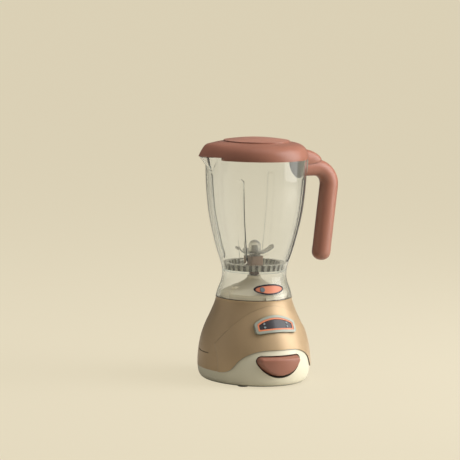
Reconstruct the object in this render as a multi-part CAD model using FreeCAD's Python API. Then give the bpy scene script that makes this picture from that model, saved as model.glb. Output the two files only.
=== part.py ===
import FreeCAD, Part
import math
import os
from FreeCAD import Vector

# Toy blender: a clear jar with a clip-on lid and a hanging handle stands on a bell-shaped base.
# Millimetres. The axis of the jar is Z, the front of the base faces -Y, the handle is at +X.
# Heights are given as rises and drops from the feature that each one sits on.

# Base housing
base_half_width = 51.4
base_front_reach = 58.0
foot_rim_height = 1.2
housing_rise = 75.8
ring_points = 16
base_sections = [
    # share of the rise, of the half width and of the reach to the front
    (0.000, 0.907, 0.924),
    (0.029, 0.957, 0.969),
    (0.103, 0.994, 1.000),
    (0.274, 1.000, 0.993),
    (0.459, 0.965, 0.934),
    (0.644, 0.883, 0.828),
    (0.828, 0.763, 0.693),
    (1.000, 0.691, 0.612),
]
shell_wall = 2.4
floor_thickness = 2.4
seam_side_height = 12.5
seam_side_x = 49.0
seam_flank_height = 23.0
seam_flank_x = 37.0
seam_front_height = 35.0
seam_front_flat = 17.0
seam_front_dip = 0.6
seam_back_height = 17.0
arch_raise = 0.9
arch_top_height = 72.5
arch_shoulder_x = 29.0
arch_shoulder_height = 60.5
arch_foot_x = 47.6
arch_foot_height = 37.0
groove_width = 0.9
groove_depth = 0.8
groove_bottom_height = 27.7
groove_top_height = 52.0
groove_front_y = -9.0
groove_back_y = 18.0
groove_corner_radius = 8.0

# Jar
jar_foot_radius = 35.3
jar_waist_rise = 21.6
jar_waist_radius = 29.8
jar_mouth_rise = 109.6
jar_mouth_radius = 46.9
jar_wall = 2.0
jar_profile = [
    # share of the growth in radius, share of the rise from the waist to the mouth
    (0.216, 0.150),
    (0.532, 0.323),
    (0.784, 0.505),
    (0.936, 0.706),
]
foot_lip = 0.8
foot_lip_height = 2.2
ledge_rise = 4.8
ledge_thickness = 2.0
ledge_width = 4.2
flute_count = 4
flute_first_angle = 45.0
flute_radius = 4.2
flute_depth = 1.3
flute_low_rise = 14.4
flute_high_drop = 22.2
spout_overhang = 10.3
spout_top_radius = 12.0
spout_drop = 13.5
spout_low_radius = 4.5
spout_wall = 1.7

# Blade unit in the jar
floor_disc_thickness = 5.8
floor_disc_gap = 0.25
floor_tooth_count = 32
floor_tooth_gap = 1.8
floor_tooth_depth = 1.0
floor_tooth_height = 3.4
floor_web = 2.2
floor_rim_width = 5.0
block_side = 12.6
block_rise = 5.8
block_corner = 1.6
blade_shaft_radius = 2.0
shaft_fit = 0.06
hub_gap = 1.2
hub_radius = 5.6
hub_height = 13.6
wing_reach = 19.8
wing_root_rise = 1.0
wing_rise = 7.0
wing_thickness = 1.1
wing_width = 9.0
small_wing_reach = 14.8
small_wing_rise = 2.4
fork_radius = 4.6
fork_drop = 0.4
fork_length = 5.1
fork_slot = 3.6
fork_web = 2.0

# Deck that closes the top of the housing, locates the jar and holds the drive
lug_width = 4.0
lug_height = 6.0
lug_reach = 1.1
lug_gap = 0.8
lug_angles = (90.0, 195.0, 345.0)
latch_width = 7.4
latch_height = 2.8
deck_ledge = 2.6
deck_fit = 0.2
deck_wall = 2.0
deck_side = 4.5
deck_cone_radius = 21.0
deck_cone_rise = 9.6
spigot_depth = 3.6
boss_radius = 6.2
boss_gap = 1.1
rib_width = 3.4
rib_stand = 1.0
rib_inner_radius = 11.0
rib_outer_radius = 25.0
drive_collar_radius = 3.4
drive_collar_fit = 0.3
drive_collar_stand = 0.4
drive_gap = 0.5
tongue_fit = 0.35
tongue_inset = 0.2
drive_above_motor = 4.0
motor_shaft_radius = 1.15
motor_shaft_grip = 6.0
motor_shaft_depth = 8.0
motor_radius = 12.0
motor_height = 30.0
motor_boss_radius = 3.0
motor_boss_height = 1.6
motor_above_deck = 7.0
motor_cup_wall = 1.7
motor_cup_fit = 0.1
cup_flange_thickness = 2.0

# Display on the front of the housing
display_width = 41.0
display_height = 16.6
display_corner = 3.2
display_arch_rise = 6.0
display_centre_height = 57.2
display_lean = 29.8
display_face_radius = 72.0
display_proud = 1.5
bezel_width = 2.3
trim_width = 1.5
trim_recess = 0.25
window_recess = 0.7
lamp_radius = 0.95
lamp_x = (-11.4, 11.4)
lamp_rows = (-2.6, 0.9)
lamp_stand = 0.45

# Half-moon button
button_radius = 24.6
button_flat_height = 29.6
button_height = 19.7
button_corner = 4.6
button_gap = 0.4
button_sleeve_wall = 1.6
button_dome_radius = 46.0
button_dome_lift = 1.5
button_proud = 3.8
button_length = 14.8
button_flange_thickness = 1.5
button_flange_reach = 1.5
button_stop_gap = 0.3
button_edge_round = 1.2
button_stem_radius = 3.0
button_stem_length = 2.4
button_travel = 1.8
switch_clearance = 0.5
switch_side = 6.0
switch_depth = 2.0
board_width = 38.0
board_height = 29.4
board_thickness = 1.6

# Lid
lid_overhang = 1.3
lid_skirt_depth = 2.3
lid_skirt_gap = 0.3
lid_panel_radius = 30.5
lid_panel_step = 0.9
lid_crown_rise = 2.6
lid_dome_rise = 15.6
lid_ring_points = 48
lid_sections = [
    # share of the rise, share of the way in to the panel, beak's reach beyond the dome
    (0.000, 0.000, 10.4),
    (0.180, 0.000, 9.9),
    (0.330, 0.030, 9.4),
    (0.519, 0.100, 9.0),
    (0.712, 0.243, 9.5),
    (0.865, 0.486, 11.2),
    (1.000, 1.000, 9.5),
]
beak_tip_angle = 4.0
beak_gap = 0.3
beak_notch_gap = 1.2
lid_wall = 2.0
lid_plug_depth = 1.8
lid_plug_wall = 1.6
lid_plug_gap = 0.35
seal_height = 0.9
seal_inset = 0.2
tongue_half_width = 7.5
tongue_low_drop = 5.2
tongue_gap = 0.4
tongue_sections = [
    # distance beyond the mouth's radius, height above the low line, share of the half width
    (-4.9, 11.5, 1.00),
    (3.1, 10.0, 1.00),
    (9.1, 8.6, 0.98),
    (14.1, 6.5, 0.90),
    (17.9, 4.0, 0.70),
    (20.2, 1.4, 0.36),
]

# Handle
handle_root_drop = 12.8
handle_root_half_height = 7.8
handle_root_half_width = 7.4
handle_bend_out = 14.1
handle_bend_radius = 16.0
handle_lean = 6.0
handle_grip_half_depth = 8.9
handle_grip_half_width = 8.2
handle_length = 86.6
handle_cap_depth = 7.4
handle_seam_gap = 0.1
handle_embed = 2.0
plate_thickness = 1.6
plate_width = 33.0
plate_drop = 3.8
plate_shoulder_drop = 11.2
plate_point_drop = 22.6
plate_waist_share = 0.84
handle_screw_runs = (14.0, 52.0)
screw_head_radius = 2.3
screw_head_height = 1.8
screw_shank_radius = 1.3
screw_fit = 0.15
handle_screw_length = 11.0
handle_screw_sink = 3.2

# Badge on the skirt of the jar
badge_half_width = 14.9
badge_half_height = 4.6
badge_rise = 10.6
badge_rim_width = 1.1
badge_rim_proud = 1.1
badge_plate_proud = 0.75
badge_lens_x = -7.6
badge_lens_radius = 2.1
badge_lens_proud = 1.3

# Battery compartment and its door
cell_radius = 7.2
cell_length = 50.0
cell_count = 2
cell_pitch = 14.9
cell_side_room = 1.4
cell_end_room = 4.0
cell_roof_gap = 0.3
cell_cap_radius = 2.7
cell_cap_length = 1.2
box_centre_y = 4.0
box_wall = 2.0
box_height = 18.0
contact_thickness = 0.5
contact_height = 9.0
contact_boss_radius = 2.0
contact_gap = 0.2
door_gap = 0.35
door_inset = 0.2
door_thickness = 2.0
door_pin_radius = 0.7
door_pin_length = 1.2
door_pin_fit = 0.06
tab_half_width = 6.0
tab_end_margin = 3.4
tab_thickness = 1.2
tab_boss_radius = 3.6
tab_boss_height = 5.0
door_screw_head_height = 1.0
door_screw_length = 4.2
door_screw_fit = 0.35

# Screws, feet and speaker
post_radius = 3.6
post_share_x = 0.73
post_share_y = 0.39
post_split_height = 14.0
post_top_height = 52.0
housing_screw_length = 12.0
foot_radius = 5.0
foot_fit = 0.1
foot_thickness = 1.9
foot_front_share = (0.58, 0.65)
foot_back_share = (0.41, 0.75)
speaker_radius = 13.0
speaker_thickness = 5.0
speaker_magnet_radius = 7.0
speaker_magnet_height = 3.0

# Derived heights and places
far = 2 * (housing_rise + jar_mouth_rise)
deck_height = foot_rim_height + housing_rise
floor_top = foot_rim_height + floor_thickness
waist_height = deck_height + jar_waist_rise
mouth_height = waist_height + jar_mouth_rise
ledge_height = waist_height + ledge_rise
ledge_bore = jar_waist_radius - jar_wall - ledge_width
disc_top = ledge_height + floor_disc_thickness
web_top = ledge_height + floor_web
block_top = disc_top + block_rise
hub_low = block_top + hub_gap
hub_top = hub_low + hub_height
shaft_top = hub_top - hub_radius
fork_top = ledge_height - fork_drop
fork_low = fork_top - fork_length
shaft_low = fork_top - fork_web
boss_height = fork_low - boss_gap
deck_hub_radius = jar_foot_radius - jar_wall - foot_lip - lug_reach - lug_gap
deck_opening_radius = deck_hub_radius - deck_ledge
spigot_radius = deck_opening_radius - deck_fit
spigot_low = deck_height - spigot_depth
spout_reach = jar_mouth_radius + spout_overhang
lid_radius = jar_mouth_radius + lid_overhang
lid_rim_height = mouth_height - lid_skirt_depth
lid_seat_height = mouth_height + seal_height
lid_dome_top = lid_rim_height + lid_dome_rise

os.makedirs("parts", exist_ok=True)


def save(name, shape):
    if shape.ShapeType == "Compound" and len(shape.Solids) == 1:
        shape = shape.Solids[0]
    shape.exportStep("parts/" + name + ".step")
    print(name, "solids", len(shape.Solids), "volume", round(shape.Volume, 1), shape.isValid())


def cylinder(radius, low, high, x=0.0, y=0.0):
    return Part.makeCylinder(radius, high - low, Vector(x, y, low))


def block(x0, x1, y0, y1, z0, z1):
    return Part.makeBox(x1 - x0, y1 - y0, z1 - z0, Vector(x0, y0, z0))


def rod_x(radius, x0, x1, y, z):
    return Part.makeCylinder(radius, x1 - x0, Vector(x0, y, z), Vector(1, 0, 0))


def rod_y(radius, y0, y1, x, z):
    return Part.makeCylinder(radius, y1 - y0, Vector(x, y0, z), Vector(0, 1, 0))


def turned(shape, angle):
    """The shape turned about the axis of the jar."""
    result = shape.copy()
    result.rotate(Vector(0, 0, 0), Vector(0, 0, 1), angle)
    return result


def revolve(edges):
    wire = Part.Wire(Part.__sortEdges__(edges))
    return Part.Face(wire).revolve(Vector(0, 0, 0), Vector(0, 0, 1), 360)


def lines(points):
    """Edges joining (radius, height) points in the XZ plane."""
    spots = [Vector(r, 0, z) for r, z in points]
    return [Part.makeLine(a, b) for a, b in zip(spots, spots[1:])]


def spline(points, start=None, end=None):
    """One smooth edge through (radius, height) points in the XZ plane."""
    curve = Part.BSplineCurve()
    spots = [Vector(r, 0, z) for r, z in points]
    if start is None:
        curve.interpolate(spots)
    else:
        curve.interpolate(Points=spots, InitialTangent=Vector(start[0], 0, start[1]),
                          FinalTangent=Vector(end[0], 0, end[1]))
    return curve.toShape()


def closed_ring(spots):
    curve = Part.BSplineCurve()
    curve.interpolate(Points=spots, PeriodicFlag=True)
    return Part.Wire(curve.toShape())


# Housing form: half ellipses with a longer reach to the front, lofted upwards.
def housing_ring(height, half_width, front):
    spots = []
    for step in range(ring_points):
        angle = 2 * math.pi * step / ring_points
        reach = front if math.sin(angle) < 0 else half_width
        spots.append(Vector(half_width * math.cos(angle), reach * math.sin(angle), height))
    return closed_ring(spots)


def housing(inset):
    rings = []
    for rise, width, reach in base_sections:
        rings.append(housing_ring(foot_rim_height + rise * housing_rise,
                                  width * base_half_width - inset, reach * base_front_reach - inset))
    return Part.makeLoft(rings, True, False)


housing_outer = housing(0.0)
housing_inner = housing(shell_wall).common(block(-far, far, -far, far, floor_top, deck_height - shell_wall))


# The wavy joint between the two housing shells, seen from the front and from the back
def below_seam(points, y0, y1):
    curve = Part.BSplineCurve()
    curve.interpolate(Points=[Vector(x, y0, z) for x, z in points],
                      InitialTangent=Vector(1, 0, 0), FinalTangent=Vector(1, 0, 0))
    left, right = points[0], points[-1]
    corners = [right, (far, right[1]), (far, -far), (-far, -far), (-far, left[1]), left]
    spots = [Vector(x, y0, z) for x, z in corners]
    edges = [curve.toShape()] + [Part.makeLine(a, b) for a, b in zip(spots, spots[1:])]
    return Part.Face(Part.Wire(edges)).extrude(Vector(0, y1 - y0, 0))


front_seam = [
    (-seam_side_x, seam_side_height),
    (-seam_flank_x, seam_flank_height),
    (-seam_front_flat, seam_front_height - seam_front_dip),
    (0.0, seam_front_height),
    (seam_front_flat, seam_front_height - seam_front_dip),
    (seam_flank_x, seam_flank_height),
    (seam_side_x, seam_side_height),
]
back_seam = [
    (-seam_side_x, seam_side_height),
    (0.0, seam_back_height),
    (seam_side_x, seam_side_height),
]
lower_zone = below_seam(front_seam, -far, 0.0).fuse(below_seam(back_seam, 0.0, far))


# Upper shell: tan bell with a raised arch panel in front and a hooked groove on each side
def arch_zone():
    crown = [
        (-arch_foot_x, arch_foot_height),
        (-arch_shoulder_x, arch_shoulder_height),
        (0.0, arch_top_height),
        (arch_shoulder_x, arch_shoulder_height),
        (arch_foot_x, arch_foot_height),
    ]
    curve = Part.BSplineCurve()
    curve.interpolate([Vector(x, -far, z) for x, z in crown])
    corners = [(arch_foot_x, arch_foot_height), (arch_foot_x, 0), (-arch_foot_x, 0), (-arch_foot_x, arch_foot_height)]
    spots = [Vector(x, -far, z) for x, z in corners]
    edges = [curve.toShape()] + [Part.makeLine(a, b) for a, b in zip(spots, spots[1:])]
    return Part.Face(Part.Wire(edges)).extrude(Vector(0, far, 0))


def side_groove():
    """Hooked ribbon in the YZ plane: level run, quarter bend, upright run; extruded right across."""
    bend_y = groove_back_y - groove_corner_radius
    bend_z = groove_bottom_height + groove_corner_radius

    def hook(offset):
        angle = math.radians(45)
        size = groove_corner_radius - offset
        low = groove_bottom_height + offset
        start = Vector(-far, groove_front_y, low)
        turn_in = Vector(-far, bend_y, low)
        middle = Vector(-far, bend_y + size * math.sin(angle), bend_z - size * math.cos(angle))
        turn_out = Vector(-far, bend_y + size, bend_z)
        top = Vector(-far, bend_y + size, groove_top_height)
        return [Part.makeLine(start, turn_in), Part.Arc(turn_in, middle, turn_out).toShape(),
                Part.makeLine(turn_out, top)]

    inside = hook(0.5 * groove_width)
    outside = hook(-0.5 * groove_width)
    start = Part.makeLine(inside[0].Vertexes[0].Point, outside[0].Vertexes[0].Point)
    end = Part.makeLine(inside[-1].Vertexes[-1].Point, outside[-1].Vertexes[-1].Point)
    wire = Part.Wire(Part.__sortEdges__(inside + outside + [start, end]))
    return Part.Face(wire).extrude(Vector(2 * far, 0, 0))


raised_arch = housing(-arch_raise).common(arch_zone())
front_outer = housing_outer.fuse(raised_arch.cut(lower_zone))


def front_reach(height):
    """Where the raised front face of the housing stands at a height, on the plane of symmetry."""
    ray = Part.makeLine(Vector(0, -far, height), Vector(0, 0, height))
    return min(v.Y for v in ray.common(front_outer).Vertexes)


post_x = post_share_x * base_half_width
post_y = post_share_y * base_half_width
post_places = [(sx * post_x, sy * post_y) for sx in (-1, 1) for sy in (-1, 1)]
pilot_radius = screw_shank_radius + screw_fit
screw_seat = foot_rim_height + screw_head_height
screw_end = screw_seat + housing_screw_length


def build_upper_shell():
    shell = front_outer.cut(lower_zone).cut(housing_inner)
    shell = shell.cut(cylinder(deck_opening_radius, spigot_low - 1, deck_height + 1))
    for x, y in post_places:
        shell = shell.fuse(cylinder(post_radius, post_split_height, post_top_height, x, y).common(housing_outer))
    pilots = [cylinder(pilot_radius, post_split_height - 1, screw_end + 1, x, y) for x, y in post_places]
    reach = block(-base_half_width - 1, base_half_width + 1, groove_front_y - 1, groove_back_y + 1,
                  groove_bottom_height - 1, groove_top_height + 1)
    return shell.cut(pilots).cut(side_groove().common(reach).cut(housing(groove_depth)))


save("base_upper_shell", build_upper_shell())

# Half-moon button: a circle cut by a level line, with rounded corners and a domed face
button_middle = button_flat_height - 0.5 * button_height
button_front_y = front_reach(button_middle) - button_proud
button_back_y = button_front_y + button_length
flange_back_y = button_back_y + button_flange_thickness
stem_back_y = flange_back_y + button_stem_length
sleeve_back = button_back_y - button_stop_gap


def half_moon(offset, y0, y1):
    centre_z = button_flat_height - button_height + button_radius
    disc = rod_y(button_radius + offset, y0, y1, 0.0, centre_z)
    half = disc.common(block(-far, far, y0, y1, -far, button_flat_height + offset))
    corners = [e for e in half.Edges if e.Length > 0.99 * (y1 - y0) and abs(e.Vertexes[0].X) > 1
               and abs(e.Vertexes[0].X - e.Vertexes[-1].X) < 0.001]
    return half.makeFillet(button_corner + offset, corners)


def build_button():
    cap = half_moon(0.0, -far, button_back_y)
    centre_y = button_front_y + button_dome_radius
    cap = cap.common(Part.makeSphere(button_dome_radius, Vector(0, centre_y, button_middle + button_dome_lift)))
    face = min(cap.Faces, key=lambda f: f.CenterOfMass.y)
    cap = cap.makeFillet(button_edge_round, face.Edges)
    flange = half_moon(button_flange_reach, button_back_y, flange_back_y)
    stem = rod_y(button_stem_radius, flange_back_y, stem_back_y, 0.0, button_middle)
    return cap.fuse([flange, stem]).removeSplitter()


save("half_moon_button", build_button())

# Battery compartment, cells and contacts
box_half_x = 0.5 * cell_length + cell_end_room
box_half_y = 0.5 * (cell_count - 1) * cell_pitch + cell_radius + cell_side_room
box_front_y = box_centre_y - box_half_y
box_back_y = box_centre_y + box_half_y
box_top = floor_top + box_height
box_roof = box_top - box_wall
cell_height = box_roof - cell_radius - cell_roof_gap

case = block(-box_half_x - box_wall, box_half_x + box_wall, box_front_y - box_wall, box_back_y + box_wall,
             floor_top, box_top)
save("battery_box", case.cut(block(-box_half_x, box_half_x, box_front_y, box_back_y, floor_top - 1, box_roof)))
cells = []
contacts = []
for index in range(cell_count):
    y = box_centre_y + (index - 0.5 * (cell_count - 1)) * cell_pitch
    end = 0.5 * cell_length
    can = rod_x(cell_radius, -end, end, y, cell_height)
    cap = rod_x(cell_cap_radius, end, end + cell_cap_length, y, cell_height)
    if index % 2:
        cap = cap.mirror(Vector(0, 0, 0), Vector(1, 0, 0))
    cells.append(can.fuse(cap))
    strip = block(box_half_x - contact_thickness, box_half_x, y - 0.35 * cell_pitch, y + 0.35 * cell_pitch,
                  cell_height - 0.5 * contact_height, cell_height + 0.5 * contact_height)
    boss = rod_x(contact_boss_radius, end + cell_cap_length + contact_gap, box_half_x - 0.5 * contact_thickness,
                 y, cell_height)
    contact = strip.fuse(boss)
    contacts += [contact, contact.mirror(Vector(0, 0, 0), Vector(1, 0, 0))]
save("battery_cells", Part.makeCompound(cells))
save("battery_contacts", Part.makeCompound(contacts))

# Battery door: it turns on two pins at the back and is held by a screw through its front tab
door_low = foot_rim_height + door_inset
door_axis_height = door_low + 0.5 * door_thickness
door_pin_y = box_back_y - door_gap - 0.5 * door_thickness
door_half_x = box_half_x - door_gap
tab_screw_y = box_front_y - box_wall - tab_boss_radius - door_gap
tab_front_y = tab_screw_y - tab_end_margin
tab_top = door_low + tab_thickness
door_screw_top = door_low + door_screw_length

door = block(-door_half_x, door_half_x, box_front_y + door_gap, door_pin_y, door_low, door_low + door_thickness)
edge_roll = rod_x(0.5 * door_thickness, -door_half_x, door_half_x, door_pin_y, door_axis_height)
pins = rod_x(door_pin_radius, -box_half_x - door_pin_length, box_half_x + door_pin_length, door_pin_y,
             door_axis_height)
tab = block(-tab_half_width, tab_half_width, tab_front_y, box_front_y + 2 * door_gap, door_low, tab_top)
tab_hole = cylinder(pilot_radius, 0, tab_top + 1, 0, tab_screw_y)
save("battery_door", door.fuse([edge_roll, pins, tab]).removeSplitter().cut(tab_hole))
door_screw = cylinder(screw_head_radius, door_low - door_screw_head_height, door_low, 0, tab_screw_y)
door_shank = cylinder(screw_shank_radius, door_low, door_screw_top, 0, tab_screw_y)
save("battery_door_screw", door_screw.fuse(door_shank))

# Lower shell: cream housing foot with floor, battery opening, button sleeve and screw posts
foot_half = base_sections[0][1] * base_half_width
foot_reach = base_sections[0][2] * base_front_reach
foot_places = []
for side in (-1, 1):
    foot_places.append((side * foot_front_share[0] * foot_half, -foot_front_share[1] * foot_reach))
    foot_places.append((side * foot_back_share[0] * foot_half, foot_back_share[1] * foot_half))
foot_recess_top = foot_thickness
tab_seat = tab_top + door_inset


def build_lower_shell():
    shell = housing_outer.common(lower_zone).cut(housing_inner)
    sleeve = half_moon(button_gap + button_sleeve_wall, -far, sleeve_back).common(housing_outer).common(lower_zone)
    posts = [cylinder(post_radius, floor_top - 0.5 * floor_thickness, post_split_height, x, y) for x, y in post_places]
    boss = cylinder(tab_boss_radius, tab_seat, floor_top + tab_boss_height, 0, tab_screw_y)
    shell = shell.fuse([sleeve, boss] + posts).removeSplitter()
    shell = shell.cut(half_moon(button_gap, -far, sleeve_back + 1))
    tools = [block(-box_half_x, box_half_x, box_front_y, box_back_y, -1, floor_top + 1)]
    tools.append(block(-tab_half_width - door_gap, tab_half_width + door_gap, tab_front_y - door_gap,
                       box_front_y + 1, -1, tab_seat))
    tools.append(cylinder(screw_shank_radius + door_screw_fit, -1, door_screw_top + 1, 0, tab_screw_y))
    hole = rod_x(door_pin_radius + door_pin_fit, box_half_x - 1, box_half_x + door_pin_length + door_gap,
                 door_pin_y, door_axis_height)
    tools += [hole, hole.mirror(Vector(0, 0, 0), Vector(1, 0, 0))]
    for x, y in post_places:
        tools.append(cylinder(pilot_radius, screw_seat - 0.5, post_split_height + 1, x, y))
        tools.append(cylinder(screw_head_radius + screw_fit, -1, screw_seat, x, y))
    for x, y in foot_places:
        tools.append(cylinder(foot_radius, -1, foot_recess_top, x, y))
    return shell.cut(tools)


save("base_lower_shell", build_lower_shell())
housing_screws = []
for x, y in post_places:
    head = cylinder(screw_head_radius, screw_seat - 0.8 * screw_head_height, screw_seat, x, y)
    housing_screws.append(head.fuse(cylinder(screw_shank_radius, screw_seat - 0.5, screw_end, x, y)))
save("housing_screws", Part.makeCompound(housing_screws))
feet = [cylinder(foot_radius - foot_fit, 0, foot_recess_top, x, y) for x, y in foot_places]
save("rubber_feet", Part.makeCompound(feet))

# Circuit board behind the button with its switch, and the speaker on the battery box
switch_front_y = stem_back_y + button_travel + switch_clearance
board_front_y = switch_front_y + switch_depth
half_switch = 0.5 * switch_side
save("circuit_board", block(-0.5 * board_width, 0.5 * board_width, board_front_y, board_front_y + board_thickness,
                            floor_top, floor_top + board_height))
save("button_switch", block(-half_switch, half_switch, switch_front_y, board_front_y,
                            button_middle - half_switch, button_middle + half_switch))
magnet_top = box_top + speaker_magnet_height
speaker = cylinder(speaker_radius, magnet_top, magnet_top + speaker_thickness, 0, box_centre_y)
save("speaker", speaker.fuse(cylinder(speaker_magnet_radius, box_top, magnet_top, 0, box_centre_y)))


# Deck hub: the cone that the jar drops over, with ribs, lugs and the front latch block
def build_deck_hub():
    side_top = deck_height + deck_side
    cone_top = deck_height + deck_cone_rise
    bore = drive_collar_radius + drive_collar_fit
    inner_boss = boss_radius - 0.65 * deck_wall
    inner_cone = deck_cone_radius - 0.8 * deck_wall
    inner_top = boss_height - deck_wall
    flare_start = (-1.0, 0.35)
    flare_end = (-0.1, 1.0)
    flare = spline([(deck_cone_radius, cone_top), (1.48 * boss_radius, 0.45 * cone_top + 0.55 * boss_height),
                    (boss_radius, boss_height)], flare_start, flare_end)
    inner_flare = spline([(inner_cone, cone_top - deck_wall),
                          (1.55 * inner_boss, 0.45 * (cone_top - deck_wall) + 0.55 * inner_top),
                          (inner_boss, inner_top)], flare_start, flare_end)
    collar = lines([(boss_radius, boss_height), (bore, boss_height), (bore, inner_top), (inner_boss, inner_top)])
    rest = lines([(inner_cone, cone_top - deck_wall),
                  (spigot_radius - deck_wall, side_top - deck_wall),
                  (spigot_radius - deck_wall, spigot_low), (spigot_radius, spigot_low), (spigot_radius, deck_height),
                  (deck_hub_radius, deck_height), (deck_hub_radius, side_top), (deck_cone_radius, cone_top)])
    hub = revolve([flare, inner_flare] + collar + rest)
    filled = revolve([flare] + lines([(boss_radius, boss_height), (0, boss_height), (0, side_top),
                                      (deck_hub_radius, side_top), (deck_cone_radius, cone_top)]))
    half_rib = 0.5 * rib_width
    half_lug = 0.5 * lug_width
    step_height = 0.5 * (side_top + cone_top)
    upper_rib = block(rib_inner_radius, rib_outer_radius, -half_rib, half_rib, cone_top - rib_stand, cone_top + rib_stand)
    lower_rib = block(rib_inner_radius, deck_hub_radius - deck_ledge, -half_rib, half_rib, side_top, step_height)
    rib = upper_rib.fuse(lower_rib).cut(filled)
    lug = block(deck_hub_radius - 1, deck_hub_radius + lug_reach, -half_lug, half_lug, deck_height,
                deck_height + lug_height)
    latch = block(-0.5 * latch_width, 0.5 * latch_width, -deck_hub_radius - lug_reach, -deck_hub_radius + 1,
                  deck_height, deck_height + latch_height)
    extras = [turned(piece, angle) for angle in lug_angles for piece in (lug, rib)]
    return hub.fuse([latch] + extras).removeSplitter()


save("deck_hub", build_deck_hub())

# Motor in its cup under the deck, its shaft and the driving tongue in the deck's boss
motor_top = deck_height + motor_above_deck
can_top = motor_top - motor_boss_height
can_low = can_top - motor_height
drive_low = motor_top + drive_above_motor
drive_top = shaft_low - drive_gap
collar_top = boss_height + drive_collar_stand
tongue_half = 0.5 * fork_slot - tongue_fit
tongue_reach = drive_collar_radius - tongue_inset
shaft_end = drive_low + motor_shaft_grip

collar = cylinder(drive_collar_radius, drive_low, collar_top)
tongue = block(-tongue_half, tongue_half, -tongue_reach, tongue_reach, collar_top - 0.5, drive_top)
save("drive_tongue", collar.fuse(tongue).cut(cylinder(motor_shaft_radius, drive_low - 1, shaft_end)))
save("motor_shaft", cylinder(motor_shaft_radius, motor_top - motor_shaft_depth, shaft_end))
motor = cylinder(motor_radius, can_low, can_top).fuse(cylinder(motor_boss_radius, can_top, motor_top))
save("motor", motor.cut(cylinder(motor_shaft_radius + shaft_fit, motor_top - motor_shaft_depth, motor_top + 1)))
cup_bore = motor_radius + motor_cup_fit
cup = cylinder(cup_bore + motor_cup_wall, can_low - motor_cup_wall, spigot_low)
flange = cylinder(spigot_radius - motor_cup_fit, spigot_low - cup_flange_thickness, spigot_low)
save("motor_cup", cup.fuse(flange).cut(cylinder(cup_bore, can_low, spigot_low + 1)))


# Display: a D-shaped panel with an arched top, leaning with the housing and flatter than it
panel_depth = 14.0
display_seat_y = front_reach(display_centre_height)


def on_display(shape):
    """Leans a shape with the housing and carries it to the display's place."""
    shape.rotate(Vector(0, 0, 0), Vector(1, 0, 0), -display_lean)
    shape.translate(Vector(0, display_seat_y, display_centre_height))
    return shape


def display_face(proud):
    length = 4 * display_height
    return Part.makeCylinder(display_face_radius, length, Vector(0, display_face_radius - proud, -0.5 * length))


def display_solid(inset, proud):
    """The D outline brought in by inset, with its face proud of the housing's front."""
    half_w = 0.5 * display_width - inset
    low = -0.5 * display_height + inset
    arch_radius = (0.25 * display_width ** 2 + display_arch_rise ** 2) / (2 * display_arch_rise)
    arch_centre = 0.5 * display_height - arch_radius
    side = arch_centre + math.sqrt((arch_radius - inset) ** 2 - half_w ** 2)
    left_low, right_low = Vector(-half_w, 0, low), Vector(half_w, 0, low)
    left_top, right_top = Vector(-half_w, 0, side), Vector(half_w, 0, side)
    edges = [Part.makeLine(left_top, left_low), Part.makeLine(left_low, right_low), Part.makeLine(right_low, right_top),
             Part.Arc(right_top, Vector(0, 0, 0.5 * display_height - inset), left_top).toShape()]
    body = Part.Face(Part.Wire(edges)).extrude(Vector(0, 2 * panel_depth, 0))
    body.translate(Vector(0, -panel_depth, 0))
    upright = [e for e in body.Edges if abs(e.Length - 2 * panel_depth) < 0.01]
    body = body.makeFillet(max(display_corner - inset, 0.25 * display_corner), upright)
    return on_display(body.common(display_face(proud)))


trim_zone = display_solid(bezel_width, panel_depth)
window_zone = display_solid(bezel_width + trim_width, panel_depth)
save("display_bezel", display_solid(0.0, display_proud).cut([front_outer, trim_zone]))
save("display_trim", display_solid(bezel_width, display_proud - trim_recess).cut([front_outer, window_zone]))
window = display_solid(bezel_width + trim_width, display_proud - window_recess).cut(front_outer)
lamps = []
for x in lamp_x:
    for row in lamp_rows:
        lamp = rod_y(lamp_radius, -panel_depth, panel_depth, x, row)
        lamp = lamp.common(display_face(display_proud - window_recess + lamp_stand))
        lamps.append(on_display(lamp).cut(front_outer))
save("display_window", window.cut(lamps))
save("display_lamps", Part.makeCompound(lamps))


# Jar: clear hourglass vessel, its skirt drops over the deck hub and its mouth has a pouring lip
def jar_curve(offset):
    """Outer face from the waist to the mouth, moved inward by the offset."""
    growth = jar_mouth_radius - jar_waist_radius
    points = [(jar_waist_radius + share * growth, waist_height + rise * jar_mouth_rise)
              for share, rise in [(0.0, 0.0)] + jar_profile + [(1.0, 1.0)]]
    return spline([(r - offset, z) for r, z in points], (0.0, 1.0), (0.0, 1.0))


def skirt_curve(offset):
    """Outer face of the skirt, from the foot up to the waist."""
    start = (jar_foot_radius - offset, deck_height)
    end = (jar_waist_radius - offset, waist_height)
    return spline([start, end], (-0.12, 1.0), (0.0, 1.0))


def jar_body(offset):
    """Solid of revolution filled to the axis, with its surface moved inward by the offset."""
    return revolve([jar_curve(offset), skirt_curve(offset)] + lines([
        (jar_mouth_radius - offset, mouth_height), (0, mouth_height), (0, deck_height),
        (jar_foot_radius - offset, deck_height)]))


def flutes(radius):
    """Bars that follow the wall between two heights, and balls at their ends, pressed in all round."""
    line = jar_curve(flute_depth - flute_radius)
    edge = line.common(block(0, far, -1, 1, waist_height + flute_low_rise, mouth_height - flute_high_drop)).Edges[0]
    start = edge.FirstParameter
    circle = Part.Wire(Part.makeCircle(radius, edge.valueAt(start), edge.tangentAt(start)))
    bar = Part.Wire(edge).makePipeShell([circle], True, False)
    balls = [Part.makeSphere(radius, corner.Point) for corner in edge.Vertexes]
    angles = [flute_first_angle + index * 360.0 / flute_count for index in range(flute_count)]
    return [turned(tool, angle) for angle in angles for tool in [bar] + balls]


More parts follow.
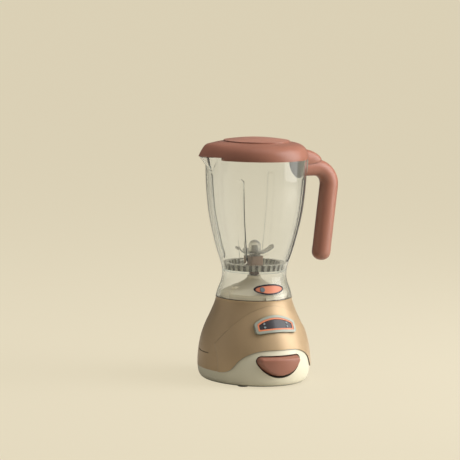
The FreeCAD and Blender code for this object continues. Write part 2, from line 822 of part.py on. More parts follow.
def spout_cone(offset):
    """Leaning cone that carries the pouring lip out to the left of the mouth."""
    low_x = -(jar_mouth_radius - spout_low_radius - 0.2)
    top_x = -(spout_reach - spout_top_radius)
    low = Part.Wire(Part.makeCircle(spout_low_radius - offset, Vector(low_x, 0, mouth_height - spout_drop)))
    top = Part.Wire(Part.makeCircle(spout_top_radius - offset, Vector(top_x, 0, mouth_height)))
    return Part.makeLoft([low, top], True, True)


def build_jar():
    outer = jar_body(0.0).fuse(spout_cone(0.0))
    for tool in flutes(flute_radius):
        outer = outer.cut(tool)
    inside = jar_body(jar_wall)
    below = inside.common(cylinder(far, 0, ledge_height - ledge_thickness))
    above = inside.common(cylinder(far, ledge_height, far))
    for tool in flutes(flute_radius + jar_wall):
        above = above.cut(tool)
    above = above.fuse(spout_cone(spout_wall))
    jar = outer.cut(above).cut(below).cut(cylinder(ledge_bore, deck_height, disc_top))
    lip_in = jar_wall + foot_lip
    lip = revolve([skirt_curve(jar_wall), skirt_curve(lip_in)]
                  + lines([(jar_waist_radius - jar_wall, waist_height), (jar_waist_radius - lip_in, waist_height)])
                  + lines([(jar_foot_radius - jar_wall, deck_height), (jar_foot_radius - lip_in, deck_height)]))
    return jar.fuse(lip.common(cylinder(far, 0, deck_height + foot_lip_height)))


save("jar", build_jar())


# Blade floor: dark disc on the jar's ledge, toothed round its lower edge, with a bearing block
shaft_bore = cylinder(blade_shaft_radius + shaft_fit, shaft_low, hub_top)


def build_floor_disc():
    disc = jar_body(jar_wall + floor_disc_gap).common(cylinder(far, ledge_height, disc_top))
    well = jar_body(jar_wall + floor_disc_gap + floor_rim_width).common(cylinder(far, web_top, disc_top + 1))
    tooth_root = jar_waist_radius - jar_wall - 0.4 * floor_tooth_depth
    half_gap = 0.5 * floor_tooth_gap
    gap = block(tooth_root, jar_mouth_radius, -half_gap, half_gap, ledge_height - 1, ledge_height + floor_tooth_height)
    gaps = [turned(gap, index * 360.0 / floor_tooth_count) for index in range(floor_tooth_count)]
    return disc.cut([well, shaft_bore]).cut(gaps)


save("blade_floor", build_floor_disc())
half_block = 0.5 * block_side
bearing_block = block(-half_block, half_block, -half_block, half_block, web_top, block_top)
upright = [e for e in bearing_block.Edges if abs(e.Vertexes[0].Z - e.Vertexes[1].Z) > 1]
save("bearing_block", bearing_block.makeFillet(block_corner, upright).cut(shaft_bore))


# Blades: domed hub with two broad wings bent up and two small ones
def wing(reach, rise, angle):
    root = hub_low + wing_root_rise
    points = [(0.0, root), (0.55 * reach, root + 0.15 * rise), (reach, root + rise)]
    upper = [(x, z + wing_thickness) for x, z in points]
    edges = [spline(points), spline(upper)] + lines([points[0], upper[0]]) + lines([points[-1], upper[-1]])
    blade = Part.Face(Part.Wire(Part.__sortEdges__(edges))).extrude(Vector(0, wing_width, 0))
    blade.translate(Vector(0, -0.5 * wing_width, 0))
    side = 0.45 * wing_width
    outline = cylinder(reach, deck_height, hub_top + reach, 0, side).common(
        cylinder(reach, deck_height, hub_top + reach, 0, -side))
    return turned(blade.common(outline), angle)


hub = cylinder(hub_radius, hub_low, shaft_top)
dome = Part.makeSphere(hub_radius, Vector(0, 0, shaft_top))
wings = [wing(wing_reach, wing_rise, 0.0), wing(wing_reach, wing_rise, 180.0),
         wing(small_wing_reach, small_wing_rise, 90.0), wing(small_wing_reach, small_wing_rise, 270.0)]
blade_shaft = cylinder(blade_shaft_radius, shaft_low, shaft_top)
save("blades", hub.fuse([dome] + wings).removeSplitter().cut(blade_shaft))
save("blade_shaft", blade_shaft)

# Coupling fork under the jar
fork = cylinder(fork_radius, fork_low, fork_top)
slot = block(-0.5 * fork_slot, 0.5 * fork_slot, -fork_radius, fork_radius, fork_low - 1, shaft_low)
save("coupling_fork", fork.cut([slot, blade_shaft]))


# Handle: hooked grip in two halves, on a shield-shaped plate against the jar
handle_root_height = mouth_height - handle_root_drop
bend_x = jar_mouth_radius + handle_bend_out
bend_z = handle_root_height - handle_bend_radius
lean = math.radians(handle_lean)
grip_top = Vector(bend_x + handle_bend_radius * math.cos(lean), 0, bend_z - handle_bend_radius * math.sin(lean))
grip_way = Vector(-math.sin(lean), 0, -math.cos(lean))


def handle_stations():
    """Centre, turn, half depth and half width along the hook, evenly spaced from the root to the cap."""
    stations = []
    root_x = jar_mouth_radius - handle_embed
    for step in range(3):
        x = root_x + (bend_x - root_x) * step / 3
        stations.append((Vector(x, 0, handle_root_height), 0.0, 0.0, 1.0))
    for step in range(6):
        turn = (90.0 + handle_lean) * step / 6
        angle = math.radians(90.0 - turn)
        centre = Vector(bend_x + handle_bend_radius * math.cos(angle), 0,
                        bend_z + handle_bend_radius * math.sin(angle))
        stations.append((centre, turn, step / 6, 1.0))
    straight = handle_length - handle_bend_radius - handle_cap_depth
    for step in range(11):
        stations.append((grip_top + grip_way * (straight * step / 10), 90.0 + handle_lean, 1.0, 1.0))
    for angle in (22.0, 43.0, 62.0, 77.0, 86.0):
        run = straight + handle_cap_depth * math.sin(math.radians(angle))
        stations.append((grip_top + grip_way * run, 90.0 + handle_lean, 1.0, math.cos(math.radians(angle))))
    return stations


def handle_solid(grow=0.0):
    rings = []
    for centre, turn, share, shrink in handle_stations():
        share = share * share * (3 - 2 * share)
        depth = handle_root_half_height + share * (handle_grip_half_depth - handle_root_half_height)
        width = handle_root_half_width + share * (handle_grip_half_width - handle_root_half_width)
        ring = Part.Ellipse(Vector(0, 0, 0), depth * shrink + grow, width * shrink + grow).toShape()
        ring.rotate(Vector(0, 0, 0), Vector(0, 1, 0), turn - 90)
        ring.translate(centre)
        rings.append(Part.Wire(ring))
    return Part.makeLoft(rings, True, False)


plate_top = mouth_height - plate_drop
plate_shoulder = mouth_height - plate_shoulder_drop
plate_point = mouth_height - plate_point_drop
half_plate = 0.5 * plate_width
shoulder_y = plate_waist_share * half_plate
shield = Part.Face(Part.makePolygon([
    Vector(0, -half_plate, plate_top), Vector(0, half_plate, plate_top), Vector(0, shoulder_y, plate_shoulder),
    Vector(0, 0, plate_point), Vector(0, -shoulder_y, plate_shoulder), Vector(0, -half_plate, plate_top)]))
plate_outer = jar_body(-plate_thickness)
save("handle_plate", plate_outer.common(shield.extrude(Vector(far, 0, 0))).cut(jar_body(0.0)))

screw_seat_y = handle_grip_half_width - handle_screw_sink
screw_end_y = screw_seat_y - handle_screw_length
handle_screws = []
front_tools = [plate_outer]
rear_tools = [plate_outer]
for run in handle_screw_runs:
    spot = grip_top + grip_way * run
    head = rod_y(screw_head_radius, screw_seat_y, screw_seat_y + screw_head_height, spot.x, spot.z)
    shank = rod_y(screw_shank_radius, screw_end_y, screw_seat_y, spot.x, spot.z)
    hole = rod_y(pilot_radius, screw_end_y - 0.5, screw_seat_y + 1, spot.x, spot.z)
    sink = rod_y(screw_head_radius + screw_fit, screw_seat_y, 2 * handle_grip_half_width, spot.x, spot.z)
    handle_screws.append(head.fuse(shank))
    front_tools.append(hole)
    rear_tools += [hole, sink]
grip = handle_solid()
half_gap = 0.5 * handle_seam_gap
front_half = grip.common(block(0, far, -far, -half_gap, 0, far)).cut(front_tools)
rear_half = grip.common(block(0, far, half_gap, far, 0, far)).cut(rear_tools)
save("handle_front_half", front_half)
save("handle_rear_half", rear_half)
save("handle_screws", Part.makeCompound(handle_screws))


# Lid: shallow dome with a beak over the spout, a tongue over the handle and a raised top panel
def lid_ring(radius, reach, height):
    """Circle drawn out to a beak: its sides are the tangents from the tip, with the tip eased."""
    ease = math.radians(beak_tip_angle)
    spread = math.acos(radius / reach) + ease
    spots = []
    for step in range(lid_ring_points):
        angle = 2 * math.pi * step / lid_ring_points
        off = math.hypot(min(angle, 2 * math.pi - angle), ease)
        size = radius / math.cos(max(spread - off, 0.0))
        spots.append(Vector(-size * math.cos(angle), -size * math.sin(angle), height))
    return closed_ring(spots)


def lid_form(inset):
    rings = []
    for rise, way, beyond in lid_sections:
        radius = lid_radius + way * (lid_panel_radius - lid_radius) - inset
        rings.append(lid_ring(radius, radius + beyond, lid_rim_height + rise * (lid_dome_rise - inset)))
    return Part.makeLoft(rings, True, False)


def lid_tongue():
    """Tab that grows out of the dome, swells over the root of the handle and ends in a round nose."""
    low = mouth_height - tongue_low_drop
    rings = []
    for beyond, height, share in tongue_sections:
        width = share * tongue_half_width
        ring = Part.Ellipse(Vector(0, 0, 0), max(width, height), min(width, height)).toShape()
        if height > width:
            ring.rotate(Vector(0, 0, 0), Vector(0, 0, 1), 90)
        ring.rotate(Vector(0, 0, 0), Vector(0, 0, 1), 90)
        ring.rotate(Vector(0, 0, 0), Vector(0, 1, 0), 90)
        ring.translate(Vector(jar_mouth_radius + beyond, 0, low))
        rings.append(Part.Wire(ring))
    return Part.makeLoft(rings, True, False)


def build_lid():
    mouth_room = jar_mouth_radius + lid_skirt_gap
    plug_out = jar_mouth_radius - jar_wall - lid_plug_gap
    plug_in = plug_out - lid_plug_wall
    spout_x = spout_reach - spout_top_radius
    notch_x = (jar_mouth_radius ** 2 - spout_top_radius ** 2 + spout_x ** 2) / (2 * spout_x) - beak_notch_gap
    under_tongue = [handle_solid(tongue_gap), block(0, far, -far, far, 0, handle_root_height),
                    cylinder(jar_mouth_radius + plate_thickness + tongue_gap, 0, lid_rim_height)]
    form = lid_form(0.0).fuse(lid_tongue().cut(under_tongue))
    inner = lid_form(lid_wall)
    hollow = inner.common(cylinder(plug_in, lid_seat_height, far))
    beak_hollow = inner.common(block(-far, -notch_x, -far, far, mouth_height, far)).cut(cylinder(mouth_room, 0, far))
    form = form.cut([cylinder(mouth_room, 0, lid_seat_height), hollow, beak_hollow,
                     block(-far, -notch_x, -far, far, 0, mouth_height + beak_gap)])
    plug = cylinder(plug_out, mouth_height - lid_plug_depth, lid_seat_height + 0.5)
    plug = plug.cut([cylinder(plug_in, 0, far), block(-far, -0.86 * plug_out, -far, far, 0, lid_seat_height)])
    return form.fuse(plug)


save("lid", build_lid())
panel_edge = lid_dome_top + lid_panel_step
panel_top = panel_edge + lid_crown_rise
panel_curve = spline([(lid_panel_radius, panel_edge), (0.5 * lid_panel_radius, panel_top - 0.25 * lid_crown_rise),
                      (0.0, panel_top)], (-1.0, 0.15), (-1.0, 0.0))
save("lid_top_panel", revolve([panel_curve] + lines([
    (0, panel_top), (0, lid_dome_top), (lid_panel_radius, lid_dome_top), (lid_panel_radius, panel_edge)])))
seal_bore = jar_mouth_radius - jar_wall - lid_plug_gap + 0.1 * seal_inset
save("lid_seal", cylinder(jar_mouth_radius - seal_inset, mouth_height, lid_seat_height).cut(
    cylinder(seal_bore, 0, far)))


# Badge: bare oval plate in a dark rim on the front of the skirt, with one round lens
badge_height = deck_height + badge_rise
skirt_surface = jar_body(0.0)


def badge_zone(inset, proud):
    oval = Part.Ellipse(Vector(0, 0, 0), badge_half_width - inset, badge_half_height - inset).toShape()
    oval.rotate(Vector(0, 0, 0), Vector(1, 0, 0), 90)
    oval.translate(Vector(0, -far, badge_height))
    column = Part.Face(Part.Wire(oval)).extrude(Vector(0, far, 0))
    return column.common(jar_body(-proud)).cut(skirt_surface)


badge_hole = rod_y(badge_lens_radius, -far, 0, badge_lens_x, badge_height)
save("badge_rim", badge_zone(0.0, badge_rim_proud).cut(badge_zone(badge_rim_width, 2 * badge_rim_proud)))
save("badge_plate", badge_zone(badge_rim_width, badge_plate_proud).cut(badge_hole))
save("badge_lens", badge_hole.common(jar_body(-badge_lens_proud)).cut(skirt_surface))
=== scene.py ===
import math

import bmesh
import bpy
import numpy as np
from mathutils import Matrix, Vector


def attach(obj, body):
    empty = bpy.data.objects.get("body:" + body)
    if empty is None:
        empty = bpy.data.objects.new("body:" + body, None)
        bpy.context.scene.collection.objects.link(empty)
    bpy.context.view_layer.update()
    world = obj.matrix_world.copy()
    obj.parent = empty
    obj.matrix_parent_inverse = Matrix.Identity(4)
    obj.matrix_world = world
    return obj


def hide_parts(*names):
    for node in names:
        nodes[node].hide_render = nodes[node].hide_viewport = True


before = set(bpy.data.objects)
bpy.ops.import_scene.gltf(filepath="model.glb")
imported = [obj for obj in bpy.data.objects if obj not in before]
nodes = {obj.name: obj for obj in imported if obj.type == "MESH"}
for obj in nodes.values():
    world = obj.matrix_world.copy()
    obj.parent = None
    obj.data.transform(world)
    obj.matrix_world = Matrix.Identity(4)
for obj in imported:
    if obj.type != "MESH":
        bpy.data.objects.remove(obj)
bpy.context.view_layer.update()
MM = 0.001

# Camera and room
# A long lens stands well back, left of the front and a little above the lid, and looks
# slightly down. Floor and wall are one even beige, and most of the light comes from the right.
view_azimuth = math.radians(-27.0)
camera_distance = 2.0
camera_height = 0.385
camera_lens = 170.0
camera_roll = math.radians(1.0)
sight_point = Vector((0.0, 0.0, 0.112))
sight_right = -0.0232
sight_up = 0.0262

scene = bpy.context.scene
away = Vector((math.sin(view_azimuth), -math.cos(view_azimuth), 0.0))
camera_place = away * camera_distance + Vector((0, 0, camera_height))
right_hand = Vector((math.cos(view_azimuth), math.sin(view_azimuth), 0.0))
aim = sight_point + right_hand * sight_right + Vector((0, 0, sight_up))
camera_data = bpy.data.cameras.new("photo_camera")
camera_data.lens = camera_lens
camera = bpy.data.objects.new("photo_camera", camera_data)
scene.collection.objects.link(camera)
camera.location = camera_place
turn = (aim - camera_place).to_track_quat("-Z", "Y")
camera.rotation_euler = (turn.to_matrix() @ Matrix.Rotation(camera_roll, 3, "Z")).to_euler()
scene.camera = camera
scene.view_settings.view_transform = "Standard"


class Socket:
    """A shader value that adds Math nodes when it is used in an expression, on either side."""

    def __init__(self, paint, link):
        self.paint = paint
        self.link = link

    def join(self, operation, *others):
        return self.paint.node("ShaderNodeMath", {"operation": operation}, [self, *others])

    def __add__(self, other):
        return self.join("ADD", other)

    def __mul__(self, other):
        return self.join("MULTIPLY", other)

    __radd__ = __add__
    __rmul__ = __mul__

    def smooth(self, low, high):
        """0 below low, 1 above high, eased between."""
        return self.paint.node("ShaderNodeMapRange", {"interpolation_type": "SMOOTHSTEP"},
                               [self, low, high, 0.0, 1.0])


class Paint:
    """One material and the nodes that it is made of."""

    def __init__(self, name, color, roughness, **constants):
        self.material = bpy.data.materials.new(name)
        self.material.use_nodes = True
        self.tree = self.material.node_tree
        self.shader = self.tree.nodes["Principled BSDF"]
        self.shader.inputs["Base Color"].default_value = (*color, 1.0)
        self.shader.inputs["Roughness"].default_value = roughness
        for key, value in constants.items():
            self.shader.inputs[key.replace("_", " ")].default_value = value
        self.color = color

    def node(self, kind, settings, values, output=0):
        """Adds a node, sets its settings, then fills its inputs, in order or by name."""
        made = self.tree.nodes.new(kind)
        for key, value in settings.items():
            setattr(made, key, value)
        pairs = values.items() if isinstance(values, dict) else enumerate(values)
        for key, value in pairs:
            if isinstance(value, Socket):
                self.tree.links.new(value.link, made.inputs[key])
            elif value is not None:
                made.inputs[key].default_value = value
        return Socket(self, made.outputs[output])

    def place(self):
        """Where a point lies on the object, in metres from the frame's origin."""
        return self.node("ShaderNodeTexCoord", {}, {}, "Object")

    def noise(self, scale, detail=3.0, stretch=(1.0, 1.0, 1.0)):
        """Soft noise on the object's own coordinates; scale is in features to the metre."""
        spot = self.node("ShaderNodeVectorMath", {"operation": "MULTIPLY"}, [self.place(), stretch])
        values = {"Vector": spot, "Scale": scale, "Detail": detail}
        return self.node("ShaderNodeTexNoise", {}, values, "Fac")

    def blend(self, factor, first, second):
        """Goes from the first colour to the second as the factor goes from 0 to 1. The node has sockets for
        numbers and vectors first, so its colours are inputs 6 and 7 and output 2."""
        ends = [value if isinstance(value, Socket) else (*value, 1.0) for value in (first, second)]
        return self.node("ShaderNodeMix", {"data_type": "RGBA"}, {0: factor, 6: ends[0], 7: ends[1]}, 2)

    def feed(self, name, socket):
        self.tree.links.new(socket.link, self.shader.inputs[name])

    def mix_with(self, other, share):
        """Shows another shader in place of the first, by a share from 0 to 1."""
        mixed = self.node("ShaderNodeMixShader", {}, [share, None, None], "Shader")
        self.tree.links.new(self.shader.outputs[0], mixed.link.node.inputs[1])
        self.tree.links.new(other.link, mixed.link.node.inputs[2])
        self.tree.links.new(mixed.link, self.tree.nodes["Material Output"].inputs["Surface"])

    def bump(self, height, distance):
        values = {"Height": height, "Distance": distance, "Strength": 1.0}
        self.feed("Normal", self.node("ShaderNodeBump", {}, values, "Normal"))


room = 60.0
floor_color = (0.752, 0.672, 0.492)
floor_lit_color = (0.58, 0.54, 0.46)
floor_glow = 1.12
glow_share = 0.82
world_color = (0.92, 0.90, 0.84)
world_strength = 0.17


def stage_plane(name, corners, color):
    """A matt plane that takes the shadow of the object. Most of what the camera sees of it, straight or
    through glass, is an even glow of the given colour."""
    mesh = bpy.data.meshes.new(name)
    mesh.from_pydata(corners, [], [tuple(range(len(corners)))])
    thing = bpy.data.objects.new(name, mesh)
    scene.collection.objects.link(thing)
    paint = Paint(name, floor_lit_color, 0.9)
    values = {"Color": (*color, 1.0), "Strength": floor_glow}
    glow = paint.node("ShaderNodeEmission", {}, values, "Emission")
    straight = paint.node("ShaderNodeLightPath", {}, {}, "Is Camera Ray")
    through_glass = Socket(paint, straight.link.node.outputs["Is Transmission Ray"])
    paint.mix_with(glow, (straight + through_glass) * glow_share)
    mesh.materials.append(paint.material)


stage_plane("floor", [(-room, -room, 0), (room, -room, 0), (room, room, 0), (-room, room, 0)], floor_color)

world = bpy.data.worlds.new("studio")
world.use_nodes = True
scene.world = world
world_nodes = world.node_tree.nodes
world_links = world.node_tree.links
background = world_nodes["Background"]
background.inputs["Color"].default_value = (*world_color, 1.0)
background.inputs["Strength"].default_value = world_strength
seen = world_nodes.new("ShaderNodeBackground")
seen.inputs["Color"].default_value = (*floor_color, 1.0)
seen.inputs["Strength"].default_value = 1.0
path_node = world_nodes.new("ShaderNodeLightPath")
either = world_nodes.new("ShaderNodeMath")
either.operation = "MAXIMUM"
world_mix = world_nodes.new("ShaderNodeMixShader")
world_links.new(path_node.outputs["Is Camera Ray"], either.inputs[0])
world_links.new(path_node.outputs["Is Transmission Ray"], either.inputs[1])
world_links.new(either.outputs[0], world_mix.inputs[0])
world_links.new(background.outputs[0], world_mix.inputs[1])
world_links.new(seen.outputs[0], world_mix.inputs[2])
world_links.new(world_mix.outputs[0], world_nodes["World Output"].inputs[0])


lamps = [
    # name, degrees off the camera's azimuth, elevation, distance, width, height, power, mirrored in gloss
    ("key_right", 88.0, 24.0, 0.9, 0.5, 0.8, 7.0, False),
    ("sheen_right", 86.0, 24.0, 0.9, 0.7, 1.0, 5.2, True),
    ("top_right", 70.0, 77.0, 1.1, 0.7, 0.7, 7.5, False),
    ("rim_left", -104.0, 12.0, 1.2, 0.5, 1.0, 2.0, False),
    ("sheen_left", -75.0, 5.0, 1.4, 0.9, 1.3, 0.7, True),
]


def soft_box(name, azimuth, elevation, distance, width, height, power, mirrored):
    """A lamp that looks at the middle of the object and isn't seen through glass."""
    angle = view_azimuth + math.radians(azimuth)
    rise = math.radians(elevation)
    level = math.cos(rise)
    spot = Vector((math.sin(angle) * level, -math.cos(angle) * level, math.sin(rise))) * distance
    lamp = bpy.data.lights.new(name, "AREA")
    lamp.shape = "RECTANGLE"
    lamp.size = width
    lamp.size_y = height
    lamp.energy = power
    thing = bpy.data.objects.new(name, lamp)
    thing.visible_glossy = mirrored
    thing.visible_transmission = False
    scene.collection.objects.link(thing)
    thing.location = spot + sight_point
    thing.rotation_euler = (-spot).to_track_quat("-Z", "Y").to_euler()


for lamp_values in lamps:
    soft_box(*lamp_values)

# Housing of the base
# Two injection-moulded ABS shells, a pearly tan bell over a cream foot, joined on a wavy
# line and screwed together from below. The bell carries a raised arch in front.
# Reach of the painted shade in creases.
crease_reach = 3.0 * MM
flow_scale, rub_scale, grain_scale = 28.0, 160.0, 9000.0  # features to the metre
grain_depth = 0.012 * MM
rub_share = 0.10


def moulded(name, color, roughness, shade, crease_shade=0.3, **constants):
    """Moulded plastic: its colour times shade in slow flow marks, and times crease_shade as painted shade
    where ambient occlusion finds creases, gloss that varies by rub_share round the roughness, and a fine
    skin texture."""
    paint = Paint(name, color, roughness, **constants)
    flow = paint.noise(flow_scale, 2.0, (1.0, 1.0, 0.45)).smooth(0.35, 0.7)
    skin = paint.blend(flow, tuple(c * shade for c in color), color)
    # Painted shade: the colour darkens to crease_shade times itself in creases, seams and recesses that
    # ambient occlusion finds.
    open_share = paint.node("ShaderNodeAmbientOcclusion", {"samples": 8}, {"Distance": crease_reach}, "AO")
    painted_crease_color = tuple(c * crease_shade for c in color)
    paint.feed("Base Color", paint.blend(open_share.smooth(0.35, 0.95), painted_crease_color, skin))
    rub = paint.noise(rub_scale, 4.0).smooth(0.3, 0.75)
    paint.feed("Roughness", rub * rub_share + (roughness - 0.4 * rub_share))
    paint.bump(paint.noise(grain_scale, 2.0), grain_depth)
    return paint


tan = moulded("tan_pearl_plastic", (0.60, 0.425, 0.245), 0.42, 0.88, Metallic=0.4, Coat_Weight=0.25,
              Coat_Roughness=0.25)
cream = moulded("cream_plastic", (0.77, 0.725, 0.55), 0.40, 0.94, Coat_Weight=0.2, Coat_Roughness=0.2)


def dress(paint, *names):
    """Gives a material to CAD nodes whose own shape is shown."""
    for name in names:
        for holder in nodes[name].material_slots:
            holder.material = paint.material


dress(tan, "base_upper_shell")
dress(cream, "base_lower_shell", "battery_door")

# Deck hub
# A cream moulding closes the top of the bell: the cone that centres the jar, with ribs,
# lugs and a small latch block that the skirt of the jar drops over.
deck = moulded("deck_plastic", (0.93, 0.85, 0.69), 0.42, 0.93, crease_shade=0.95)
dress(deck, "deck_hub")

# Display
# A leaning D-shaped panel: pearl silver bezel, orange trim, smoked window and four
# frosted lamps, snapped into the arch of the bell.
silver = moulded("silver_pearl_plastic", (0.36, 0.38, 0.31), 0.34, 0.88, Metallic=0.2, Coat_Weight=0.3)
orange = moulded("orange_plastic", (0.72, 0.22, 0.10), 0.35, 0.92, Coat_Weight=0.2)
smoked = moulded("smoked_window", (0.05, 0.045, 0.05), 0.2, 0.8, Coat_Weight=0.4)
frosted = moulded("frosted_lamp", (0.24, 0.29, 0.30), 0.3, 0.9)
dress(silver, "display_bezel")
dress(orange, "display_trim")
dress(smoked, "display_window")
dress(frosted, "display_lamps")

# Half-moon button
# One terracotta moulding, a half moon with a level top that narrows to a gently domed
# face. It slides in a sleeve of the cream foot, and the dome of a switch pushes it back.
terracotta = moulded("terracotta_plastic", (0.35, 0.145, 0.094), 0.38, 0.9, Coat_Weight=0.25,
                     Coat_Roughness=0.22)
button_radius = 24.6 * MM
button_top = 29.6 * MM
button_height = 19.7 * MM
button_corner = 4.6 * MM
button_crown_y = -61.6 * MM
button_dome_radius = 56.0 * MM
button_back_y = -47.0 * MM
face_rings = 15
smallest_ring = 0.06  # of the face's outline
button_rows = [
    # inset from the outline and distance behind the domed face, both in millimetres
    (3.6, 0.0), (3.1, 0.12), (2.6, 0.4), (2.3, 0.9), (2.1, 1.5), (1.5, 3.2), (0.8, 5.2), (0.2, 7.4),
]


def moon_outline(inset):
    """Half moon as x and z: the disc and the level line above it, drawn in by the corner radius and let
    out again along the normal, so that both corners are arcs."""
    corner = button_corner - inset
    low_z = button_top - button_height + button_radius
    core = button_radius - inset - corner
    top = button_top - inset - corner
    half = math.sqrt(core ** 2 - (low_z - top) ** 2)
    side = math.atan2(top - low_z, half)
    under = np.linspace(math.pi - side, 2 * math.pi + side, 90)
    right = np.linspace(side, 0.5 * math.pi, 14)[1:]
    flat = np.linspace(half, -half, 50)[1:]
    left = np.linspace(0.5 * math.pi, math.pi - side, 14)[1:-1]
    disc = np.stack([np.cos(under), np.sin(under)], -1) * (core + corner) + [0.0, low_z]
    right_turn = np.stack([np.cos(right), np.sin(right)], -1) * corner + [half, top]
    level = np.stack([flat, np.full_like(flat, top + corner)], -1)
    left_turn = np.stack([np.cos(left), np.sin(left)], -1) * corner + [-half, top]
    return np.concatenate([disc, right_turn, level, left_turn])


def moon_face(spots, behind):
    """Puts an outline on the face, a dome whose depth is distance squared over twice its radius."""
    middle = button_top - 0.5 * button_height
    x, z = spots[..., 0], spots[..., 1]
    y = button_crown_y + (x ** 2 + (z - middle) ** 2) / (2 * button_dome_radius) + behind
    return np.stack([x, y, z], -1)


def piece(name, points, faces, paint, body, slot, replaced=(), angle=40.0):
    """Makes a mesh object of the points and faces and ties it to its body and CAD nodes; slot is not used.
    """
    mesh = bpy.data.meshes.new(name)
    mesh.from_pydata(points.reshape(-1, 3).tolist(), [], faces)
    shape = bmesh.new()
    shape.from_mesh(mesh)
    bmesh.ops.recalc_face_normals(shape, faces=shape.faces)
    shape.to_mesh(mesh)
    shape.free()
    mesh.polygons.foreach_set("use_smooth", np.ones(len(mesh.polygons), bool))
    mesh.set_sharp_from_angle(angle=math.radians(angle))
    mesh.materials.append(paint.material)
    thing = bpy.data.objects.new(name, mesh)
    scene.collection.objects.link(thing)
    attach(thing, body)
    if replaced:
        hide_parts(*replaced)


def ring_skin(name, grid, *dressing, **options):
    """A closed skin over (rows, columns, 3) rings, with a fan to a middle point at each end."""
    rows, columns = grid.shape[:2]
    index = np.arange(rows * columns).reshape(rows, columns)
    after = np.roll(index, -1, axis=1)
    quads = np.stack([index[:-1], index[1:], after[1:], after[:-1]], -1).reshape(-1, 4)
    first = np.stack([np.full(columns, index.size), index[0], after[0]], -1)
    last = np.stack([np.full(columns, index.size + 1), after[-1], index[-1]], -1)
    points = np.concatenate([grid.reshape(-1, 3), grid[:1].mean(1), grid[-1:].mean(1)])
    piece(name, points, quads.tolist() + first.tolist() + last.tolist(), *dressing, **options)


edge = moon_outline(button_rows[0][0] * MM)
face_centre = edge.mean(0)
spread = np.linspace(smallest_ring, 1.0, face_rings + 1)[:-1, None, None]
face = moon_face(face_centre + spread * (edge - face_centre), 0.0)
sides = np.stack([moon_face(moon_outline(inset * MM), behind * MM) for inset, behind in button_rows])
back = moon_face(moon_outline(0.0), 0.0)
back[:, 1] = button_back_y
button_rings = np.concatenate([face, sides, back[None]])
ring_skin("button_cap", button_rings, terracotta, "button", "terracotta_plastic",
          replaced=["half_moon_button"])

# Jar
# Clear polystyrene, moulded in one piece with its skirt, four pressed flutes and a
# pouring lip; the wall is two millimetres thick.
painted_edge_shade_color = (0.05, 0.055, 0.045)
wall_tint = (0.62, 0.76, 0.84, 1.0)
tint_density = 50.0  # per metre
ripple_depth = 0.03 * MM
clear = Paint("clear_plastic", (1.0, 1.0, 1.0), 0.02, Transmission_Weight=1.0, IOR=1.46,
              Specular_IOR_Level=0.15, Coat_Weight=0.6, Coat_Roughness=0.35)
# Painted shade: the base colour darkens to painted_edge_shade_color where the wall is seen edge-on,
# standing in for the dark edges of the clear wall.
edge_shade_share = clear.node("ShaderNodeLayerWeight", {}, {"Blend": 0.5}, "Facing").smooth(0.72, 0.98)
clear.feed("Base Color", clear.blend(edge_shade_share, clear.color, painted_edge_shade_color))
haze = clear.noise(40.0, 3.0)
clear.feed("Roughness", haze.smooth(0.4, 0.8) * 0.02 + 0.01)
clear.bump(clear.noise(60.0, 2.0, (1.0, 1.0, 0.3)), ripple_depth)
tint = clear.node("ShaderNodeVolumeAbsorption", {}, {"Color": wall_tint, "Density": tint_density}, "Volume")
clear.tree.links.new(tint.link, clear.tree.nodes["Material Output"].inputs["Volume"])
lit_through = clear.node("ShaderNodeBsdfTransparent", {}, {"Color": (0.98, 0.98, 0.97, 1.0)}, "BSDF")
clear.mix_with(lit_through, clear.node("ShaderNodeLightPath", {}, {}, "Is Shadow Ray"))
dress(clear, "jar")

# Blade unit
# Smoky clear toothed disc on the jar's ledge, a tan-brown bearing block over a brown fork,
# and a pale translucent hub with four wings on a steel shaft.
tooth_count = 32
rim_inner = 20.6 * MM
rim_blur = 0.6 * MM
painted_gap_shade_color = (0.07, 0.07, 0.05)
smoke = Paint("smoked_disc", (0.60, 0.59, 0.51), 0.1, Transmission_Weight=0.6, IOR=1.5)
# Painted shade: dark stripes by angle round the axis, on the toothed rim, stand in for the shade in the
# gaps between the teeth.
disc_x = smoke.node("ShaderNodeSeparateXYZ", {}, [smoke.place()], "X")
disc_y = Socket(smoke, disc_x.link.node.outputs["Y"])
gap_shade_stripes = (disc_x.join("ARCTAN2", disc_y) * tooth_count).join("COSINE").smooth(-0.35, 0.35)
rim = (disc_x * disc_x + disc_y * disc_y).join("SQRT").smooth(rim_inner, rim_inner + rim_blur)
smoke.feed("Base Color", smoke.blend(gap_shade_stripes * rim, smoke.color, painted_gap_shade_color))
smoke.feed("Roughness", smoke.noise(200.0, 3.0).smooth(0.3, 0.8) * 0.08 + 0.06)
block_brown = moulded("bearing_plastic", (0.34, 0.22, 0.15), 0.35, 0.85, Transmission_Weight=0.25)
brown = moulded("brown_plastic", (0.16, 0.075, 0.05), 0.4, 0.85)
pale = moulded("pale_grey_plastic", (0.86, 0.84, 0.77), 0.2, 0.95, Transmission_Weight=0.75)
steel = moulded("zinc_steel", (0.62, 0.62, 0.6), 0.35, 0.9, Metallic=1.0)
dress(smoke, "blade_floor")
dress(block_brown, "bearing_block")
dress(brown, "coupling_fork", "drive_tongue")
dress(pale, "blades")
dress(steel, "blade_shaft", "motor_shaft", "handle_screws", "housing_screws", "battery_door_screw", "motor",
      "battery_contacts")

# Lid
# Terracotta dome with a beak over the spout and a tongue over the handle, a raised panel on top in a
# lighter copy of the terracotta as painted light, and a sealing ring under its edge, near black as painted
# shadow.
# Painted light: a lighter copy of the terracotta on the top panel stands in for light falling on the lid's
# up-facing top.
terracotta_painted_lit = moulded("light_terracotta_plastic", (0.49, 0.215, 0.145), 0.36, 0.92, Coat_Weight=0.25,
                           Coat_Roughness=0.2)
# Partly painted shadow: the sealing ring is a real part, and its near-black colour stands in for the shadow
# under the lid's edge.
seal = moulded("rubber_painted_shadow", (0.05, 0.026, 0.02), 0.6, 0.8)
dress(terracotta, "lid")
dress(terracotta_painted_lit, "lid_top_panel")
dress(seal, "lid_seal")

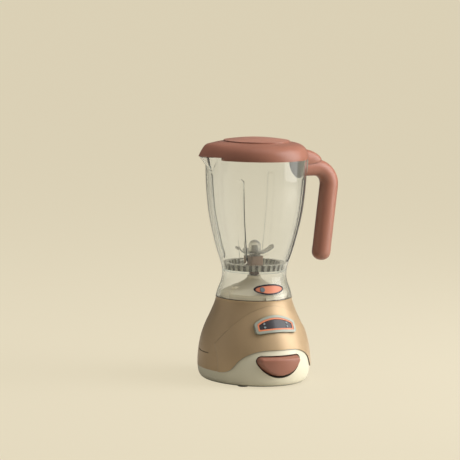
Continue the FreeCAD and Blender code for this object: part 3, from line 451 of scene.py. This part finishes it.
# Handle
# Two terracotta halves screwed together round the hook, on a grey shield-shaped plate
# that is bonded to the jar.
grey = moulded("grey_plastic", (0.26, 0.25, 0.205), 0.38, 0.88)
dress(terracotta, "handle_front_half", "handle_rear_half")
plate_top = 204.4 * MM
plate_drop = 18.8 * MM
plate_half = 16.5 * MM
plate_roundness = 2.4
least_half = 0.04  # of plate_half, at the lowest point
mouth_radius = 46.9 * MM
mouth_height = 208.2 * MM
wall_curve = 0.84  # per metre
plate_layers = [
    # distance off the wall and inset from the outline, both in millimetres
    (0.05, 0.0), (1.2, 0.0), (1.445, 0.105), (1.55, 0.35),
]
plate_across, plate_down = np.meshgrid(np.linspace(-1, 1, 61), np.linspace(0, 1, 49))


def plate_sheet(out, inset):
    """Shield on the wall of the jar. Its half width is plate_half times the root of one minus the drop to
    the power plate_roundness; the radius of the wall falls by wall_curve times the depth squared."""
    share = np.maximum(np.sqrt(1 - plate_down ** plate_roundness), least_half)
    y = plate_across * (plate_half - inset) * share
    z = plate_top - inset - plate_down * (plate_drop - 2 * inset)
    radius = mouth_radius - wall_curve * (mouth_height - z) ** 2 + out
    return np.stack([np.sqrt(radius ** 2 - y ** 2), y, z], -1)


def slab(name, sheets, *dressing, **options):
    """A solid between the first and the last of several sheets, joined round their borders."""
    rows, columns = sheets[0].shape[:2]
    index = np.arange(rows * columns).reshape(rows, columns)
    flat = np.stack([index[:-1, :-1], index[1:, :-1], index[1:, 1:], index[:-1, 1:]], -1).reshape(-1, 4)
    border = np.concatenate([index[0, :-1], index[:-1, -1], index[-1, :0:-1], index[:0:-1, 0]])
    after = np.roll(border, -1)
    strip = np.stack([border, after, after + index.size, border + index.size], -1)
    layers = len(sheets) - 1
    wall = [strip + layer * index.size for layer in range(layers)]
    faces = np.concatenate([flat, flat[:, ::-1] + layers * index.size, *wall])
    piece(name, np.stack(sheets), faces.tolist(), *dressing, **options)


slab("handle_shield", [plate_sheet(out * MM, inset * MM) for out, inset in plate_layers], grey, "jar",
     "grey_plastic", replaced=["handle_plate"])

# Badge
# Bare oval plate in a dark rim with one round lens, on the front of the skirt.
navy = moulded("dark_navy_plastic", (0.02, 0.025, 0.04), 0.3, 0.8)
badge_orange = moulded("badge_orange_plastic", (0.70, 0.235, 0.13), 0.4, 0.93)
lens = moulded("grey_lens", (0.20, 0.25, 0.27), 0.15, 0.8, Coat_Weight=0.4)
dress(navy, "badge_rim")
dress(badge_orange, "badge_plate")
dress(lens, "badge_lens")

# Works inside the base
# Battery box, cells, motor cup, circuit board, switch and speaker sit out of sight
# inside the housing; rubber feet show under it.
black = moulded("black_plastic", (0.03, 0.03, 0.03), 0.5, 0.8)
board = moulded("solder_mask", (0.02, 0.12, 0.04), 0.4, 0.8)
wrap = moulded("cell_wrap", (0.12, 0.2, 0.16), 0.3, 0.8)
dress(black, "battery_box", "motor_cup", "button_switch", "speaker", "rubber_feet")
dress(board, "circuit_board")
dress(wrap, "battery_cells")
